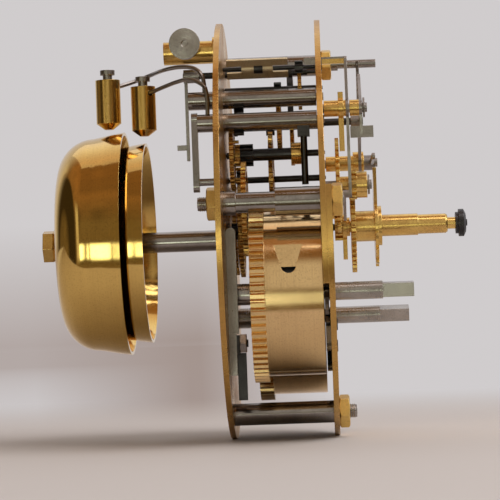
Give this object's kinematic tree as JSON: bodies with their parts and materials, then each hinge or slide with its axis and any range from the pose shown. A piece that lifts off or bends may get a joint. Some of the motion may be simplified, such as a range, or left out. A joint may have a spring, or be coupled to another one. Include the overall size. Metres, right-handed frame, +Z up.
{
  "type": "clock movement",
  "caption": "Spring-driven clock movement with round plates, two barrels, rack striking on two nested bells, and a hand shaft for a dial.",
  "frame": {"origin": "centre arbor's axis on the front face of the upper front plate", "axes": "+X out of the dial side along the hand shaft, +Z up, -Y the strike side"},
  "size_m": [0.1178, 0.115, 0.115],
  "materials": {
    "brass": "brushed, slightly tarnished",
    "pale_brass": "satin",
    "bell_brass": "polished",
    "steel": "turned and polished",
    "dark_steel": "blackened"
  },
  "bodies": {
    "plates": {"back_plate": "brass", "front_plate": "brass", "barrel_plate": "brass", "pillar_middle": "steel", "pillars": "steel", "pillar_nuts": "steel", "click_springs": "steel", "click_screws": "steel", "back_strap": "steel", "suspension_post": "brass", "bell_post": "steel", "bell_inner": "bell_brass", "bell_outer": "bell_brass", "bell_washer": "pale_brass", "bell_bolt": "steel", "front_studs": "steel"},
    "time_barrel": {"barrel_time": "brass", "barrel_cap_time": "pale_brass", "mainspring_time": "dark_steel"},
    "time_winding": {"barrel_arbor_time": "steel", "ratchet_time": "dark_steel"},
    "time_click": {"click_time": "dark_steel"},
    "strike_barrel": {"barrel_strike": "brass", "barrel_cap_strike": "pale_brass", "mainspring_strike": "dark_steel"},
    "strike_winding": {"barrel_arbor_strike": "steel", "ratchet_strike": "dark_steel"},
    "strike_click": {"click_strike": "dark_steel"},
    "time_second": {"second_wheel_time": "brass"},
    "time_centre": {"centre_wheel": "brass"},
    "time_third": {"third_wheel": "brass"},
    "time_escape": {"escape_wheel": "brass"},
    "pallets": {"anchor": "dark_steel", "crutch": "steel"},
    "cannon": {"cannon_pinion": "brass", "hand_nut": "dark_steel"},
    "minute": {"minute_wheel": "brass"},
    "hour": {"hour_wheel": "brass", "snail": "pale_brass"},
    "strike_second": {"second_wheel_strike": "brass"},
    "strike_pins": {"pin_wheel": "brass"},
    "strike_gathering": {"gathering_wheel": "brass", "gathering_pallet": "steel"},
    "strike_warning": {"warning_wheel": "brass"},
    "strike_fly": {"fly_arbor": "dark_steel", "fly": "pale_brass"},
    "hammer_a": {"hammer_arbor_a": "steel", "hammer_wire_a": "steel", "hammer_head_a": "pale_brass", "hammer_screw_a": "steel", "hammer_tail_a": "dark_steel"},
    "hammer_b": {"hammer_arbor_b": "steel", "hammer_wire_b": "steel", "hammer_head_b": "pale_brass", "hammer_screw_b": "steel", "hammer_tail_b": "dark_steel"},
    "suspension": {"suspension_screw": "steel"},
    "rack": {"rack": "steel"},
    "rack_hook": {"rack_hook": "steel"},
    "lifting": {"lifting_lever": "steel"}
  },
  "joints": [
    {"name": "centre_turn", "type": "hinge", "parent": "plates", "child": "time_centre", "pos_m": [-0.014, 0, 0], "axis": [1, 0, 0], "continuous": true},
    {"name": "second_time_turn", "type": "hinge", "parent": "plates", "child": "time_second", "pos_m": [-0.014, 0.01421, 0.00062], "axis": [1, 0, 0], "continuous": true},
    {"name": "barrel_time_turn", "type": "hinge", "parent": "plates", "child": "time_barrel", "pos_m": [-0.014, 0.023, -0.0242], "axis": [1, 0, 0], "continuous": true},
    {"name": "third_turn", "type": "hinge", "parent": "plates", "child": "time_third", "pos_m": [-0.014, 0.00701, 0.01444], "axis": [1, 0, 0], "continuous": true},
    {"name": "escape_turn", "type": "hinge", "parent": "plates", "child": "time_escape", "pos_m": [-0.014, 0.00949, 0.02928], "axis": [1, 0, 0], "continuous": true},
    {"name": "cannon_turn", "type": "hinge", "parent": "plates", "child": "cannon", "pos_m": [0.02, 0, 0], "axis": [1, 0, 0], "continuous": true},
    {"name": "minute_turn", "type": "hinge", "parent": "plates", "child": "minute", "pos_m": [0.005, -0.0116, 0.01089], "axis": [1, 0, 0], "continuous": true},
    {"name": "hour_turn", "type": "hinge", "parent": "plates", "child": "hour", "pos_m": [0.01, 0, 0], "axis": [1, 0, 0], "continuous": true},
    {"name": "pin_wheel_turn", "type": "hinge", "parent": "plates", "child": "strike_pins", "pos_m": [-0.014, -0.01011, 0.0202], "axis": [1, 0, 0], "continuous": true},
    {"name": "second_strike_turn", "type": "hinge", "parent": "plates", "child": "strike_second", "pos_m": [-0.014, -0.0135, 0.00528], "axis": [1, 0, 0], "continuous": true},
    {"name": "barrel_strike_turn", "type": "hinge", "parent": "plates", "child": "strike_barrel", "pos_m": [-0.014, -0.0246, -0.0182], "axis": [1, 0, 0], "continuous": true},
    {"name": "gathering_turn", "type": "hinge", "parent": "plates", "child": "strike_gathering", "pos_m": [-0.014, -0.00343, 0.02901], "axis": [1, 0, 0], "continuous": true},
    {"name": "warning_turn", "type": "hinge", "parent": "plates", "child": "strike_warning", "pos_m": [-0.014, -0.00719, 0.03832], "axis": [1, 0, 0], "continuous": true},
    {"name": "fly_turn", "type": "hinge", "parent": "plates", "child": "strike_fly", "pos_m": [-0.014, -0.01205, 0.04371], "axis": [1, 0, 0], "continuous": true},
    {"name": "winding_time_turn", "type": "hinge", "parent": "plates", "child": "time_winding", "pos_m": [0.01, 0.023, -0.0242], "axis": [1, 0, 0], "continuous": true},
    {"name": "winding_strike_turn", "type": "hinge", "parent": "plates", "child": "strike_winding", "pos_m": [0.01, -0.0246, -0.0182], "axis": [1, 0, 0], "continuous": true},
    {"name": "click_time_swing", "type": "hinge", "parent": "plates", "child": "time_click", "pos_m": [0, 0.01948, -0.03292], "axis": [1, 0, 0], "range_deg": [-10, 0]},
    {"name": "click_strike_swing", "type": "hinge", "parent": "plates", "child": "strike_click", "pos_m": [0, -0.02108, -0.02692], "axis": [1, 0, 0], "range_deg": [0, 10]},
    {"name": "pallets_swing", "type": "hinge", "parent": "plates", "child": "pallets", "pos_m": [-0.02, 0, 0.0436], "axis": [1, 0, 0], "range_deg": [-3, 3]},
    {"name": "hammer_a_swing", "type": "hinge", "parent": "plates", "child": "hammer_a", "pos_m": [-0.014, -0.016, 0.035], "axis": [1, 0, 0], "range_deg": [-4, 20]},
    {"name": "hammer_b_swing", "type": "hinge", "parent": "plates", "child": "hammer_b", "pos_m": [-0.014, -0.02, 0.0285], "axis": [1, 0, 0], "range_deg": [-4, 22]},
    {"name": "rack_swing", "type": "hinge", "parent": "plates", "child": "rack", "pos_m": [0.005, 0.032, 0.0199], "axis": [1, 0, 0], "range_deg": [0, 3.5]},
    {"name": "rack_hook_swing", "type": "hinge", "parent": "plates", "child": "rack_hook", "pos_m": [0.005, -0.021, 0.0311], "axis": [1, 0, 0], "range_deg": [0, 8]},
    {"name": "lifting_swing", "type": "hinge", "parent": "plates", "child": "lifting", "pos_m": [0.002, -0.021, 0.0311], "axis": [1, 0, 0], "range_deg": [-8, 0]},
    {"name": "suspension_screw_turn", "type": "hinge", "parent": "plates", "child": "suspension", "pos_m": [-0.0375, -0.003, 0.052], "axis": [0, -1, 0], "continuous": true}
  ],
  "couplings": [
    {"joint": "second_time_turn", "follows": "centre_turn", "ratio": -0.16667},
    {"joint": "barrel_time_turn", "follows": "centre_turn", "ratio": 0.023438},
    {"joint": "third_turn", "follows": "centre_turn", "ratio": -3.5714},
    {"joint": "escape_turn", "follows": "centre_turn", "ratio": 23.214},
    {"joint": "cannon_turn", "follows": "centre_turn", "ratio": 1},
    {"joint": "minute_turn", "follows": "centre_turn", "ratio": -0.27778},
    {"joint": "hour_turn", "follows": "centre_turn", "ratio": 0.083333},
    {"joint": "second_strike_turn", "follows": "pin_wheel_turn", "ratio": -0.22727},
    {"joint": "barrel_strike_turn", "follows": "pin_wheel_turn", "ratio": 0.028409},
    {"joint": "gathering_turn", "follows": "pin_wheel_turn", "ratio": -4.5},
    {"joint": "warning_turn", "follows": "pin_wheel_turn", "ratio": 21.214},
    {"joint": "fly_turn", "follows": "pin_wheel_turn", "ratio": -74.25}
  ]
}
